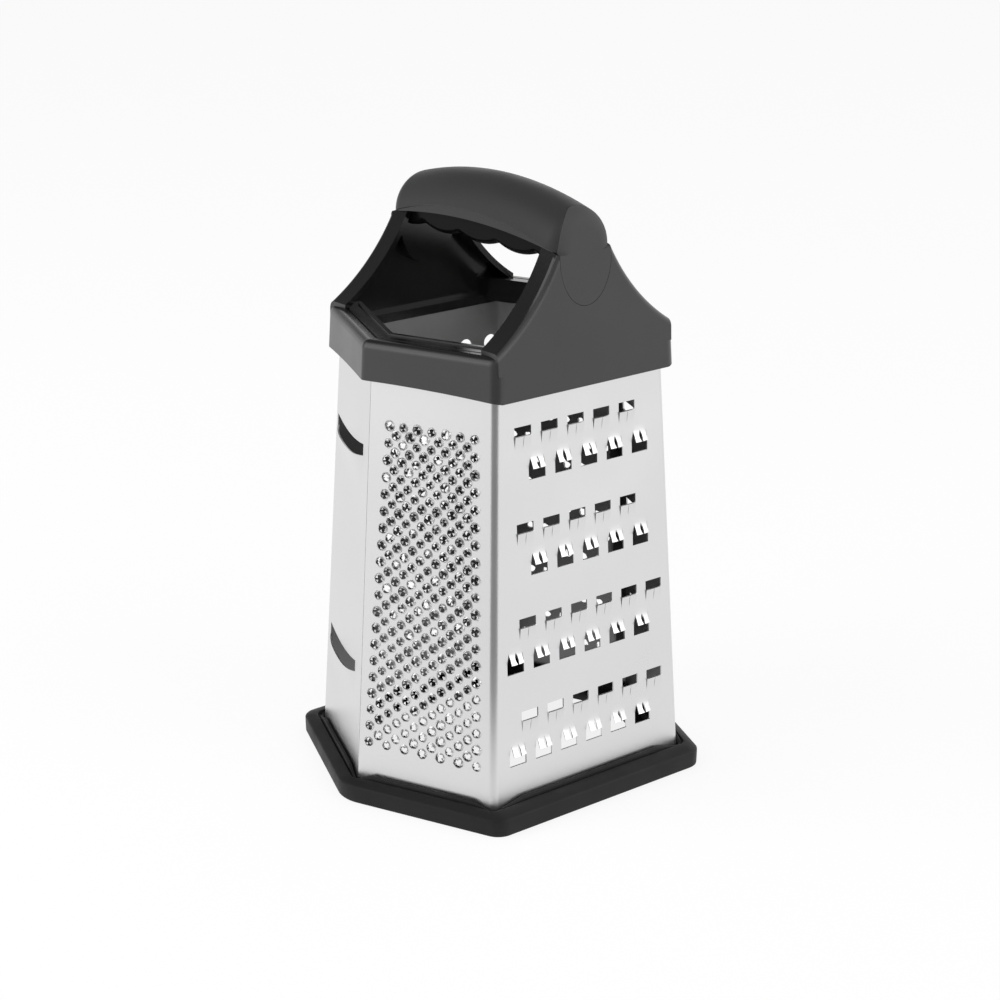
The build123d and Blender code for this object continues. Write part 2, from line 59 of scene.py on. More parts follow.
# Stage. A pale floor in a white room with two large soft lamps, seen from 51 degrees round from the front
# ridge and 19 degrees up, as in the photograph. Reflections alone see the dark patch of the room, high on
# the left, which dims the plastic, and the dark card, which draws a dark line down the near bend.
white = (1, 1, 1, 1)
camera_turn = math.radians(51.0)
camera_rise = math.radians(18.806)
camera_distance = 0.91355
camera_aim = Vector((0, 0, 0.110))


def direction_to(turn, rise):
    """Unit vector at an angle round from the front ridge and an angle up from the floor."""
    return Vector((math.sin(turn) * math.cos(rise), -math.cos(turn) * math.cos(rise), math.sin(rise)))


camera_direction = direction_to(camera_turn, camera_rise)
camera_data = bpy.data.cameras.new("photo_camera")
camera_data.sensor_width = 36
camera_data.lens = 83.675
camera_data.shift_x = 0.0018
camera_data.shift_y = -0.00915
camera = bpy.data.objects.new("photo_camera", camera_data)
camera.location = camera_aim + camera_direction * camera_distance
camera.rotation_euler = camera_direction.to_track_quat("Z", "Y").to_euler()
scene.collection.objects.link(camera)
scene.camera = camera


def add_node(tree, kind, inputs=None, **settings):
    """A new node in a tree. Each input gets a plain value, a socket to link, or a list of sockets."""
    made = tree.nodes.new(kind)
    for name, value in settings.items():
        setattr(made, name, value)
    for name, value in (inputs or {}).items():
        if isinstance(value, (list, bpy.types.NodeSocket)):
            for socket in value if isinstance(value, list) else [value]:
                tree.links.new(socket, made.inputs[name])
        else:
            made.inputs[name].default_value = value
    return made


def shown_to_eye(tree):
    """Socket that is 1 where a ray comes from the camera, a reflection or glass."""
    rays = add_node(tree, "ShaderNodeLightPath").outputs
    seen = rays["Is Camera Ray"]
    for kind in ("Is Glossy Ray", "Is Transmission Ray"):
        seen = add_node(tree, "ShaderNodeMath", {0: seen, 1: rays[kind]}, operation="MAXIMUM").outputs[0]
    return seen


room = bpy.data.worlds.new("white_room")
room.use_nodes = True
tree = room.node_tree
tree.nodes.clear()
room_place = add_node(tree, "ShaderNodeTexCoord")
towards_dark = add_node(tree, "ShaderNodeVectorMath", {
    0: room_place.outputs["Generated"], 1: (-0.46, -0.195, 0.866)}, operation="DOT_PRODUCT")
room_shade = add_node(tree, "ShaderNodeMapRange", {
    "Value": towards_dark.outputs["Value"], "From Min": 0.42, "From Max": 0.72, "To Min": 0.3, "To Max": -0.8,
}, interpolation_type="SMOOTHSTEP")
room_rays = add_node(tree, "ShaderNodeLightPath")
room_gain = add_node(tree, "ShaderNodeMath", {
    0: room_rays.outputs["Is Glossy Ray"], 1: room_shade.outputs["Result"], 2: 1.0}, operation="MULTIPLY_ADD")
room_light = add_node(tree, "ShaderNodeBackground", {"Color": white, "Strength": 0.55})
room_white = add_node(tree, "ShaderNodeBackground", {"Color": white, "Strength": room_gain.outputs[0]})
room_mix = add_node(tree, "ShaderNodeMixShader", {
    0: shown_to_eye(tree), 1: room_light.outputs[0], 2: room_white.outputs[0]})
add_node(tree, "ShaderNodeOutputWorld", {0: room_mix.outputs[0]})
scene.world = room

floor_paper = bpy.data.materials.new("floor_paper")
floor_paper.use_nodes = True
tree = floor_paper.node_tree
tree.nodes.clear()
paper_diffuse = add_node(tree, "ShaderNodeBsdfDiffuse", {"Color": (0.9, 0.9, 0.9, 1)})
paper_glow = add_node(tree, "ShaderNodeEmission", {"Strength": 1.06})
paper_share = add_node(tree, "ShaderNodeMath", {0: shown_to_eye(tree), 1: 0.8}, operation="MULTIPLY")
paper_mix = add_node(tree, "ShaderNodeMixShader", {
    0: paper_share.outputs[0], 1: paper_diffuse.outputs[0], 2: paper_glow.outputs[0]})
add_node(tree, "ShaderNodeOutputMaterial", {"Surface": paper_mix.outputs[0]})


def stage_sheet(name, corners, faces, material):
    """A flat or folded sheet of the stage, which isn't part of the object."""
    mesh = bpy.data.meshes.new(name)
    mesh.from_pydata(corners, [], faces)
    mesh.materials.append(material)
    made = bpy.data.objects.new(name, mesh)
    scene.collection.objects.link(made)
    return made


stage_sheet("floor", [(-6, -6, 0), (6, -6, 0), (6, 6, 0), (-6, 6, 0)], [(0, 1, 2, 3)], floor_paper)

card_grey = bpy.data.materials.new("card_grey")
card_grey.use_nodes = True
card_shader = card_grey.node_tree.nodes["Principled BSDF"]
card_shader.inputs["Base Color"].default_value = (0.01, 0.01, 0.01, 1)
card_shader.inputs["Roughness"].default_value = 1.0
card_shader.inputs["Emission Color"].default_value = white
card_shader.inputs["Emission Strength"].default_value = 0.25
card_half_angle = math.radians(36)
card_near, card_far, card_top, card_lift = 0.22, 0.62, 0.62, 0.0015
card_points = []
for distance, height in ((card_near, card_lift), (card_far, card_lift), (card_far, card_top)):
    for side in (-1, 1):
        heading = camera_turn + side * card_half_angle
        card_points.append((math.sin(heading) * distance, -math.cos(heading) * distance, height))
card = stage_sheet("dark_card", card_points, [(0, 1, 3, 2), (2, 3, 5, 4)], card_grey)
card.visible_camera = False
card.visible_diffuse = False
card.visible_shadow = False

lamp_aim = Vector((0, 0, 0.1))
lamp_size = 1.5
for name, heading, rise, distance, power in (
    ("left_lamp", -20, 32, 1.7, 11.0),
    ("right_lamp", 112, 30, 1.8, 7.0),
):
    lamp_data = bpy.data.lights.new(name, "AREA")
    lamp_data.shape = "DISK"
    lamp_data.size = lamp_size
    lamp_data.energy = power
    lamp = bpy.data.objects.new(name, lamp_data)
    lamp_direction = direction_to(math.radians(heading), math.radians(rise))
    lamp.location = lamp_aim + lamp_direction * distance
    lamp.rotation_euler = lamp_direction.to_track_quat("Z", "Y").to_euler()
    scene.collection.objects.link(lamp)

# Foot ring. A black soft ring of thermoplastic rubber that the steel stands in. It is moulded in one
# piece and pushed on from below. A thin lip holds the steel from outside and dips at each of the six
# corners, and a fine groove runs round the lip's foot.
MM = 0.001
foot_z, skirt_z = 11.0, 165.0
depth_foot, depth_skirt = 55.8, 48.9
wide_half_foot, wide_half_skirt = 47.2, 40.6
slant_angle = math.radians(22.3)
bend_radius, ridge_radius = 3.6, 1.2


def wide_distance(z):
    """Millimetres from the axis to the outside of a wide face."""
    return depth_foot - (depth_foot - depth_skirt) * (z - foot_z) / (skirt_z - foot_z)


def slant_distance(z):
    """Millimetres from the axis to the outside of a slanted face."""
    half = wide_half_foot - (wide_half_foot - wide_half_skirt) * (z - foot_z) / (skirt_z - foot_z)
    return (half + wide_distance(z) * math.tan(slant_angle)) * math.cos(slant_angle)


def six_corners(z, wide_out=0.0, slant_out=0.0):
    """The six corners of the body's plan, moved outwards, anticlockwise from the front ridge."""
    depth = wide_distance(z) + wide_out
    tip = (slant_distance(z) + slant_out) / math.cos(slant_angle)
    half = tip - depth * math.tan(slant_angle)
    plan = [(0, -tip), (depth, -half), (depth, half), (0, tip), (-depth, half), (-depth, -half)]
    return [Vector(point) for point in plan]


def round_corner(corners, index, radius, steps):
    """Points of the arc that rounds one corner of a plan."""
    corner = corners[index]
    back = (corners[index - 1] - corner).normalized()
    ahead = (corners[(index + 1) % len(corners)] - corner).normalized()
    half_angle = back.angle(ahead) / 2
    centre = corner + (back + ahead).normalized() * radius / math.sin(half_angle)
    reach = radius / math.tan(half_angle)
    start = corner + back * reach - centre
    sweep = math.pi - 2 * half_angle
    points = []
    for step in range(steps + 1):
        angle = sweep * step / steps
        turned = Vector((
            start.x * math.cos(angle) - start.y * math.sin(angle),
            start.x * math.sin(angle) + start.y * math.cos(angle),
        ))
        points.append(centre + turned)
    return points


def ring_loop(wide_out, slant_out, bend, ridge, arc_steps=10, side_steps=8):
    """One closed loop of the ring's surface in plan."""
    corners = six_corners(foot_z, wide_out, slant_out)
    arcs = [round_corner(corners, index, ridge if index % 3 == 0 else bend, arc_steps) for index in range(6)]
    loop = []
    for index, arc in enumerate(arcs):
        loop += arc
        ahead = arcs[(index + 1) % 6][0]
        loop += [arc[-1].lerp(ahead, step / side_steps) for step in range(1, side_steps)]
    return loop


lip_dip, lip_dip_reach = 3.0, 7.5
channel_outer, channel_inner, channel_floor = 0.79, -0.95, 3.0
lip_outer, groove_outer, groove_floor = 2.2, 3.0, 7.8
wall_inner, wall_top, wall_rounding = -3.15, 8.7, 0.3
base_inner, base_top, base_rounding = -8.05, 4.5, 0.4
foot_bend, foot_ridge = 7.0, 16.0
# Height, offset of the wide sides, offset of the slanted sides, bend and ridge radius, share of the dip
ring_profile = [
    (0.00, 8.1, 6.5, foot_bend, foot_ridge, 0.0),
    (0.12, 8.5, 6.9, foot_bend, foot_ridge, 0.0),
    (0.45, 8.8, 7.2, foot_bend, foot_ridge, 0.0),
    (1.00, 8.9, 7.3, foot_bend, foot_ridge, 0.0),
    (3.60, 8.96, 7.36, foot_bend, foot_ridge, 0.0),
    (6.30, 9.0, 7.4, foot_bend, foot_ridge, 0.0),
    (6.75, 8.9, 7.3, foot_bend, foot_ridge, 0.0),
    (7.10, 8.6, 7.0, foot_bend, 15.5, 0.0),
    (7.35, 8.1, 6.5, 6.8, 14.6, 0.0),
    (8.15, 5.8, 5.0, 5.6, 10.0, 0.0),
    (8.75, 3.5, 3.4, 4.6, 5.4, 0.15),
]
# The same for the lip and the channel, whose offsets are alike on all six sides
ring_profile += [(height, out, out, bend, ridge, dip_share) for height, out, bend, ridge, dip_share in (
    (8.80, groove_outer, 4.4, 3.8, 0.15),
    (8.60, groove_outer - 0.15, 4.4, 3.8, 0.15),
    (groove_floor, groove_outer - 0.2, 4.4, 3.8, 0.0),
    (groove_floor, lip_outer + 0.1, 3.8, 3.0, 0.0),
    (9.60, lip_outer, 3.8, 3.0, 0.9),
    (10.05, lip_outer - 0.15, 3.8, 2.8, 1.0),
    (10.27, lip_outer - 0.45, 3.7, 2.6, 1.0),
    (10.30, channel_outer + 0.45, bend_radius, 2.2, 1.0),
    (10.18, channel_outer + 0.12, bend_radius, 2.0, 1.0),
    (9.80, channel_outer, bend_radius, 1.6, 1.0),
    (channel_floor, channel_outer, bend_radius, 1.6, 0.0),
)]
# The same for the inner wall and the base, which have the steel's own bends and no dip
ring_profile += [(height, out, out, bend_radius, ridge_radius, 0.0) for height, out in (
    (channel_floor, channel_inner),
    (wall_top - 0.25, channel_inner),
    (wall_top, channel_inner - wall_rounding),
    (wall_top, wall_inner + wall_rounding),
    (wall_top - 0.25, wall_inner),
    (base_top + 0.25, wall_inner),
    (base_top, wall_inner - wall_rounding),
    (base_top, base_inner + base_rounding),
    (base_top - base_rounding, base_inner),
    (base_rounding, base_inner),
    (0.0, base_inner + base_rounding),
)]
steel_corners = six_corners(foot_z)
shape = bmesh.new()
ring_rows = []
for height, wide_out, slant_out, bend, ridge, dip_share in ring_profile:
    row = []
    for point in ring_loop(wide_out, slant_out, bend, ridge):
        nearest = min((point - corner).length for corner in steel_corners)
        closeness = max(0.0, 1 - nearest / lip_dip_reach)
        dip = lip_dip * dip_share * closeness * closeness * (3 - 2 * closeness)
        row.append(shape.verts.new(Vector((point.x, point.y, height - dip)) * MM))
    ring_rows.append(row)
for row, above in zip(ring_rows, ring_rows[1:] + ring_rows[:1]):
    for index in range(len(row)):
        after = (index + 1) % len(row)
        shape.faces.new((row[index], row[after], above[after], above[index]))
ring_mesh = bpy.data.meshes.new("foot_ring_moulding")
shape.to_mesh(ring_mesh)
shape.free()
ring_mesh.shade_smooth()
ring_mesh.set_sharp_from_angle(angle=math.radians(55))
foot_ring = bpy.data.objects.new("foot_ring_moulding", ring_mesh)
scene.collection.objects.link(foot_ring)


def group_tree(name, inputs, outputs):
    """A new shader node group with named number inputs and named outputs."""
    group = bpy.data.node_groups.new(name, "ShaderNodeTree")
    for socket_name, value in inputs.items():
        socket = group.interface.new_socket(socket_name, in_out="INPUT", socket_type="NodeSocketFloat")
        socket.default_value = value
    for socket_name, kind in outputs.items():
        group.interface.new_socket(socket_name, in_out="OUTPUT", socket_type=kind)
    return group, add_node(group, "NodeGroupInput"), add_node(group, "NodeGroupOutput")


# Grain of a moulded or rolled surface: a fine height for bump, and a slow mask for colour and gloss
grain, grain_in, grain_out = group_tree(
    "surface_grain",
    {"Grain per metre": 4000.0, "Stretch up": 1.0, "Patches per metre": 40.0},
    {"Height": "NodeSocketFloat", "Patches": "NodeSocketFloat"},
)
grain_place = add_node(grain, "ShaderNodeTexCoord")
stretch = add_node(grain, "ShaderNodeCombineXYZ", {0: 1.0, 1: 1.0, 2: grain_in.outputs["Stretch up"]})
stretched = add_node(grain, "ShaderNodeVectorMath", {
    0: grain_place.outputs["Object"], 1: stretch.outputs[0]}, operation="MULTIPLY")
fine_noise = add_node(grain, "ShaderNodeTexNoise", {
    "Vector": stretched.outputs[0], "Scale": grain_in.outputs["Grain per metre"], "Detail": 3.0})
patch_noise = add_node(grain, "ShaderNodeTexNoise", {
    "Vector": grain_place.outputs["Object"], "Scale": grain_in.outputs["Patches per metre"], "Detail": 4.0})
grain.links.new(fine_noise.outputs["Fac"], grain_out.inputs["Height"])
grain.links.new(patch_noise.outputs["Fac"], grain_out.inputs["Patches"])

# Wear along edges: where the surface turns within a small radius, broken up by noise
wear, wear_in, wear_out = group_tree(
    "edge_wear",
    {"Edge radius": 0.0005, "Breaks per metre": 300.0},
    {"Mask": "NodeSocketFloat"},
)
rounded = add_node(wear, "ShaderNodeBevel", {"Radius": wear_in.outputs["Edge radius"]}, samples=4)
wear_geometry = add_node(wear, "ShaderNodeNewGeometry")
agreement = add_node(wear, "ShaderNodeVectorMath", {
    0: rounded.outputs["Normal"], 1: wear_geometry.outputs["Normal"]}, operation="DOT_PRODUCT")
edge = add_node(wear, "ShaderNodeMapRange", {
    "Value": agreement.outputs["Value"], "From Min": 0.995, "From Max": 0.80})
wear_place = add_node(wear, "ShaderNodeTexCoord")
breaks = add_node(wear, "ShaderNodeTexNoise", {
    "Vector": wear_place.outputs["Object"], "Scale": wear_in.outputs["Breaks per metre"], "Detail": 3.0})
broken = add_node(wear, "ShaderNodeMapRange", {
    "Value": breaks.outputs["Fac"], "From Min": 0.4, "From Max": 0.65})
mask = add_node(wear, "ShaderNodeMath", {
    0: edge.outputs["Result"], 1: broken.outputs["Result"]}, operation="MULTIPLY")
wear.links.new(mask.outputs[0], wear_out.inputs["Mask"])


def surface_material(name, colour, patch_colour, edge_colour, rough_low, rough_high, grain_scale, stretch_up,
                     patch_scale, bump_height, edge_radius, metallic=0.0, specular=0.5):
    """A material whose colour, gloss and bump vary with the grain, and whose edges show wear."""
    material = bpy.data.materials.new(name)
    material.use_nodes = True
    tree = material.node_tree
    shader = tree.nodes["Principled BSDF"]
    shader.inputs["Metallic"].default_value = metallic
    shader.inputs["Specular IOR Level"].default_value = specular
    grains = add_node(tree, "ShaderNodeGroup", node_tree=grain)
    grains.inputs["Grain per metre"].default_value = grain_scale
    grains.inputs["Stretch up"].default_value = stretch_up
    grains.inputs["Patches per metre"].default_value = patch_scale
    worn = add_node(tree, "ShaderNodeGroup", node_tree=wear)
    worn.inputs["Edge radius"].default_value = edge_radius
    patches = add_node(tree, "ShaderNodeMix", {
        "Factor": grains.outputs["Patches"], "A": (*colour, 1), "B": (*patch_colour, 1)}, data_type="RGBA")
    edges = add_node(tree, "ShaderNodeMix", {
        "Factor": worn.outputs["Mask"], "A": patches.outputs["Result"], "B": (*edge_colour, 1),
    }, data_type="RGBA")
    tree.links.new(edges.outputs["Result"], shader.inputs["Base Color"])
    gloss = add_node(tree, "ShaderNodeMapRange", {
        "Value": grains.outputs["Patches"], "From Min": 0.3, "From Max": 0.7, "To Min": rough_low,
        "To Max": rough_high})
    tree.links.new(gloss.outputs["Result"], shader.inputs["Roughness"])
    bump = add_node(tree, "ShaderNodeBump", {
        "Height": grains.outputs["Height"], "Strength": 1.0, "Distance": bump_height})
    tree.links.new(bump.outputs["Normal"], shader.inputs["Normal"])
    return material


ring_rubber = surface_material(
    "ring_rubber", colour=(0.008, 0.008, 0.008), patch_colour=(0.012, 0.012, 0.012),
    edge_colour=(0.03, 0.03, 0.03), rough_low=0.5, rough_high=0.68, grain_scale=2600, stretch_up=1.0,
    patch_scale=60, bump_height=0.00003, edge_radius=0.0004, specular=0.28,
)
ring_mesh.materials.append(ring_rubber)
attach(foot_ring, "ring")
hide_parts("foot_ring")

# Front shell. One sheet of 0.6 mm stainless steel, pierced and punched flat, then bent into three faces:
# fine points, coarse pronged teeth and ripple slicing slots. A narrow flange inside each ridge is spot
# welded to the rear shell. The outside is bright rolled, with a faint grain that runs up the faces.
sheet = 0.6
steel_low_z, steel_high_z = 3.3, 171.6
middle_z = (foot_z + skirt_z) / 2
# The arc of each ridge is shared by the two shells, which leave a fine seam between these of its steps
bend_steps, seam_before, seam_after = 12, 5, 7


def face_frame(heading, distance_of, side):
    """Matrix from a face's own frame, X across, Y up the face and Z out of it, to the object's frame."""
    turn = math.radians(heading)
    lean = math.atan((distance_of(foot_z) - distance_of(skirt_z)) / (skirt_z - foot_z))
    outward = Vector((math.cos(turn) * math.cos(lean), math.sin(turn) * math.cos(lean), math.sin(lean)))
    across = Vector((-math.sin(turn), math.cos(turn), 0))
    corners = six_corners(middle_z)
    middle = (corners[side] + corners[(side + 1) % 6]) / 2
    up = outward.cross(across)
    matrix = Matrix((across, up, outward)).transposed().to_4x4()
    matrix.translation = Vector((middle.x, middle.y, middle_z))
    return matrix


slant_heading = 90 - math.degrees(slant_angle)
face_frames = {
    "fine": face_frame(-slant_heading, slant_distance, 0),
    "coarse": face_frame(0, wide_distance, 1),
    "ripple": face_frame(slant_heading, slant_distance, 2),
    "small": face_frame(180 - slant_heading, slant_distance, 3),
    "medium": face_frame(180, wide_distance, 4),
    "slicer": face_frame(slant_heading - 180, slant_distance, 5),
}
face_side = {"fine": 0, "coarse": 1, "ripple": 2, "small": 3, "medium": 4, "slicer": 5}


def shell_arcs(z, out):
    """The six rounded corners of the body's plan at a height, moved outwards."""
    corners = six_corners(z, out, out)
    radii = [(ridge_radius if index % 3 == 0 else bend_radius) + out for index in range(6)]
    return [round_corner(corners, index, radii[index], bend_steps) for index in range(6)]


def face_outline(name):
    """The flat part of a face between its two bends, as four points in the face's own frame."""
    side = face_side[name]
    back = face_frames[name].inverted()
    outline = []
    for z, ends in ((steel_low_z, (0, 1)), (steel_high_z, (1, 0))):
        arcs = shell_arcs(z, 0.0)
        tangents = (arcs[side][-1], arcs[(side + 1) % 6][0])
        for end in ends:
            outline.append(back @ Vector((tangents[end].x, tangents[end].y, z)))
    return outline


def up_face(name, z):
    """Distance up a face of a height above the table."""
    return (z - middle_z) / face_frames[name].col[1].z


def piercing_tree():
    """Geometry nodes that pierce a face at marked places and stand a punched tooth at each."""
    tree = bpy.data.node_groups.new("pierced_face", "GeometryNodeTree")
    for socket_name, kind in (
        ("Geometry", "Geometry"), ("Openings", "Collection"), ("Teeth", "Collection"),
        ("Sheet thickness", "Float"), ("Size spread", "Float"), ("Turn spread", "Float"), ("Seed", "Int"),
        ("Steel", "Material"), ("Steel inside", "Material"),
    ):
        tree.interface.new_socket(socket_name, in_out="INPUT", socket_type="NodeSocket" + kind)
    tree.interface.new_socket("Geometry", in_out="OUTPUT", socket_type="NodeSocketGeometry")
    given = add_node(tree, "NodeGroupInput").outputs

    def attribute(name, data_type):
        """Socket with the value of a named attribute."""
        made = add_node(tree, "GeometryNodeInputNamedAttribute", data_type=data_type)
        made.inputs["Name"].default_value = name
        return made.outputs["Attribute"]

    def worked_out(operation, first, second):
        """Socket with the result of one step of arithmetic."""
        return add_node(tree, "ShaderNodeMath", {0: first, 1: second}, operation=operation).outputs[0]

    outline = add_node(tree, "GeometryNodeMeshToCurve", {"Mesh": given["Geometry"]})
    places = add_node(tree, "GeometryNodeMeshToPoints", {
        "Mesh": given["Geometry"], "Selection": attribute("tooth", "BOOLEAN")}, mode="VERTICES")
    loose_turn = add_node(tree, "FunctionNodeRandomValue", data_type="FLOAT")
    tree.links.new(worked_out("MULTIPLY", given["Turn spread"], -1.0), loose_turn.inputs[2])
    tree.links.new(given["Turn spread"], loose_turn.inputs[3])
    tree.links.new(given["Seed"], loose_turn.inputs["Seed"])
    angles = add_node(tree, "ShaderNodeCombineXYZ", {
        "Z": worked_out("ADD", attribute("turn", "FLOAT"), loose_turn.outputs[1])})
    rotation = add_node(tree, "FunctionNodeEulerToRotation", {"Euler": angles.outputs[0]})
    size = add_node(tree, "FunctionNodeRandomValue", data_type="FLOAT")
    tree.links.new(worked_out("SUBTRACT", 1.0, given["Size spread"]), size.inputs[2])
    tree.links.new(worked_out("ADD", 1.0, given["Size spread"]), size.inputs[3])
    tree.links.new(worked_out("ADD", given["Seed"], 1.0), size.inputs["Seed"])
    kind = attribute("kind", "INT")
    copies = []
    for socket_name in ("Openings", "Teeth"):
        library = add_node(tree, "GeometryNodeCollectionInfo", {
            "Collection": given[socket_name], "Separate Children": True, "Reset Children": True})
        placed = add_node(tree, "GeometryNodeInstanceOnPoints", {
            "Points": places.outputs["Points"], "Instance": library.outputs[0], "Pick Instance": True,
            "Instance Index": kind, "Rotation": rotation.outputs[0], "Scale": size.outputs[1]})
        copies.append(add_node(tree, "GeometryNodeRealizeInstances", {0: placed.outputs[0]}).outputs[0])
    hole_lines = add_node(tree, "GeometryNodeMeshToCurve", {"Mesh": copies[0]})
    lines = add_node(tree, "GeometryNodeJoinGeometry", {0: [outline.outputs[0], hole_lines.outputs[0]]})
    filled = add_node(tree, "GeometryNodeFillCurve", {0: lines.outputs[0]})
    turned_over = add_node(tree, "GeometryNodeFlipFaces", {0: filled.outputs[0]})
    thick = add_node(tree, "GeometryNodeExtrudeMesh", {
        "Mesh": turned_over.outputs[0], "Offset Scale": given["Sheet thickness"], "Individual": False,
    }, mode="FACES")
    plate = add_node(tree, "GeometryNodeJoinGeometry", {0: [filled.outputs[0], thick.outputs["Mesh"]]})
    sealed = add_node(tree, "GeometryNodeMergeByDistance", {0: plate.outputs[0], "Distance": 1e-7})
    whole = add_node(tree, "GeometryNodeJoinGeometry", {0: [sealed.outputs[0], copies[1]]})
    realized = add_node(tree, "GeometryNodeRealizeInstances", {0: whole.outputs[0]})
    finished = add_node(tree, "GeometryNodeSetMaterial", {
        "Geometry": realized.outputs[0], "Material": given["Steel"]})
    # Faces that look inwards and the linings of holes get the inner steel, painted dark as painted shade
    facing = add_node(tree, "GeometryNodeInputNormal")
    outward = add_node(tree, "ShaderNodeSeparateXYZ", {0: facing.outputs[0]})
    inward = add_node(tree, "FunctionNodeCompare", {
        0: outward.outputs["Z"], 1: -0.5}, data_type="FLOAT", operation="LESS_THAN")
    painted_shade_faces = add_node(tree, "FunctionNodeBooleanMath", {
        0: inward.outputs[0], 1: attribute("lining", "BOOLEAN")}, operation="OR")
    lined = add_node(tree, "GeometryNodeSetMaterial", {
        "Geometry": finished.outputs[0], "Selection": painted_shade_faces.outputs[0], "Material": given["Steel inside"]})
    add_node(tree, "NodeGroupOutput", {"Geometry": lined.outputs[0]})
    return tree


pierced_face = piercing_tree()
steel_bright = surface_material(
    "steel_bright", colour=(0.69, 0.69, 0.69), patch_colour=(0.735, 0.735, 0.735),
    edge_colour=(0.90, 0.90, 0.90), rough_low=0.27, rough_high=0.37, grain_scale=3000, stretch_up=0.04,
    patch_scale=22, bump_height=0.000012, edge_radius=0.00025, metallic=1.0,
)
# Steel for the inner faces and the linings of holes, painted dark as painted shade
inner_steel_painted_shade = surface_material(
    "inner_steel_painted_shade", colour=(0.15, 0.15, 0.15), patch_colour=(0.21, 0.21, 0.21),
    edge_colour=(0.3, 0.3, 0.3), rough_low=0.38, rough_high=0.5, grain_scale=3000, stretch_up=0.04,
    patch_scale=22, bump_height=0.00002, edge_radius=0.00025, metallic=1.0,
)

# Inside, the steel is painted dark as painted shade, and painted brighter towards the mouth as painted light,
# where light comes in
tree = inner_steel_painted_shade.node_tree
inside_colour = tree.nodes["Principled BSDF"].inputs["Base Color"]
inside_place = add_node(tree, "ShaderNodeTexCoord")
inside_height = add_node(tree, "ShaderNodeSeparateXYZ", {0: inside_place.outputs["Object"]})
mouth_painted_light = add_node(tree, "ShaderNodeMapRange", {
    "Value": inside_height.outputs["Z"], "From Min": 0.125, "From Max": 0.158,
}, interpolation_type="SMOOTHSTEP")
inside_blend = add_node(tree, "ShaderNodeMix", {
    "Factor": mouth_painted_light.outputs["Result"], "A": inside_colour.links[0].from_socket, "B": (0.6, 0.6, 0.6, 1),
}, data_type="RGBA")
tree.links.new(inside_blend.outputs["Result"], inside_colour)


def outline_object(name, points, into):
    """A closed line of points, as the outline of an opening."""
    mesh = bpy.data.meshes.new(name)
    count = len(points)
    lines = [(index, (index + 1) % count) for index in range(count)]
    mesh.from_pydata([(x * MM, y * MM, 0) for x, y in points], lines, [])
    made = bpy.data.objects.new(name, mesh)
    into.objects.link(made)


def tooth_object(name, shape, into):
    """A punched tooth from a finished bmesh in millimetres."""
    for vertex in shape.verts:
        vertex.co *= MM
    mesh = bpy.data.meshes.new(name)
    shape.to_mesh(mesh)
    shape.free()
    made = bpy.data.objects.new(name, mesh)
    into.objects.link(made)


def tool_set(name):
    """A collection that holds the openings or teeth of one face while it is made."""
    made = bpy.data.collections.new(name)
    scene.collection.children.link(made)
    return made


def pierce(name, places, openings, teeth, size_spread=0.0, turn_spread=0.0, seed=1):
    """The face as a plain mesh in the object's frame, pierced and punched at the places."""
    base = bpy.data.meshes.new(name + "_places")
    outline = face_outline(name)
    points = list(outline) + [Vector((x, y, 0)) for x, y, turn, kind in places]
    base.from_pydata([point * MM for point in points], [(0, 1), (1, 2), (2, 3), (3, 0)], [])
    corners = len(outline)
    for attribute, kind, values in (
        ("tooth", "BOOLEAN", [False] * corners + [True] * len(places)),
        ("turn", "FLOAT", [0.0] * corners + [place[2] for place in places]),
        ("kind", "INT", [0] * corners + [place[3] for place in places]),
    ):
        base.attributes.new(attribute, kind, "POINT").data.foreach_set("value", values)
    piece = bpy.data.objects.new(name + "_face", base)
    scene.collection.objects.link(piece)
    modifier = piece.modifiers.new("piercing", "NODES")
    modifier.node_group = pierced_face
    values = {
        "Openings": openings, "Teeth": teeth, "Sheet thickness": sheet * MM, "Size spread": size_spread,
        "Turn spread": turn_spread, "Seed": seed, "Steel": steel_bright, "Steel inside": inner_steel_painted_shade,
    }
    for item in pierced_face.interface.items_tree:
        if item.name in values and item.in_out == "INPUT":
            modifier[item.identifier] = values[item.name]
    evaluated = piece.evaluated_get(bpy.context.evaluated_depsgraph_get())
    face = bpy.data.meshes.new_from_object(evaluated)
    names = [material.name if material else "" for material in face.materials]
    lined = [int(names[polygon.material_index] == inner_steel_painted_shade.name) for polygon in face.polygons]
    face.polygons.foreach_set("material_index", lined)
    bpy.data.objects.remove(piece)
    for tools in (openings, teeth):
        for tool in list(tools.objects):
            bpy.data.objects.remove(tool)
        bpy.data.collections.remove(tools)
    # The cut edges that the bends carry on from are opened
    side_lines = [(outline[1], outline[2]), (outline[3], outline[0])]
    on_line = 0.02
    shape = bmesh.new()
    shape.from_mesh(face)
    walls = []
    for wall in shape.faces:
        middle = wall.calc_center_median() / MM
        if abs(wall.normal.z) < 0.5:
            for start, end in side_lines:
                along = (end - start).normalized()
                away = Vector((middle.x, middle.y, 0)) - start
                if (away - along * away.dot(along)).length < on_line:
                    walls.append(wall)
    bmesh.ops.delete(shape, geom=walls, context="FACES_ONLY")
    to_object = face_frames[name].copy()
    to_object.translation *= MM
    bmesh.ops.transform(shape, matrix=to_object, verts=shape.verts)
    shape.to_mesh(face)
    shape.free()
    return face


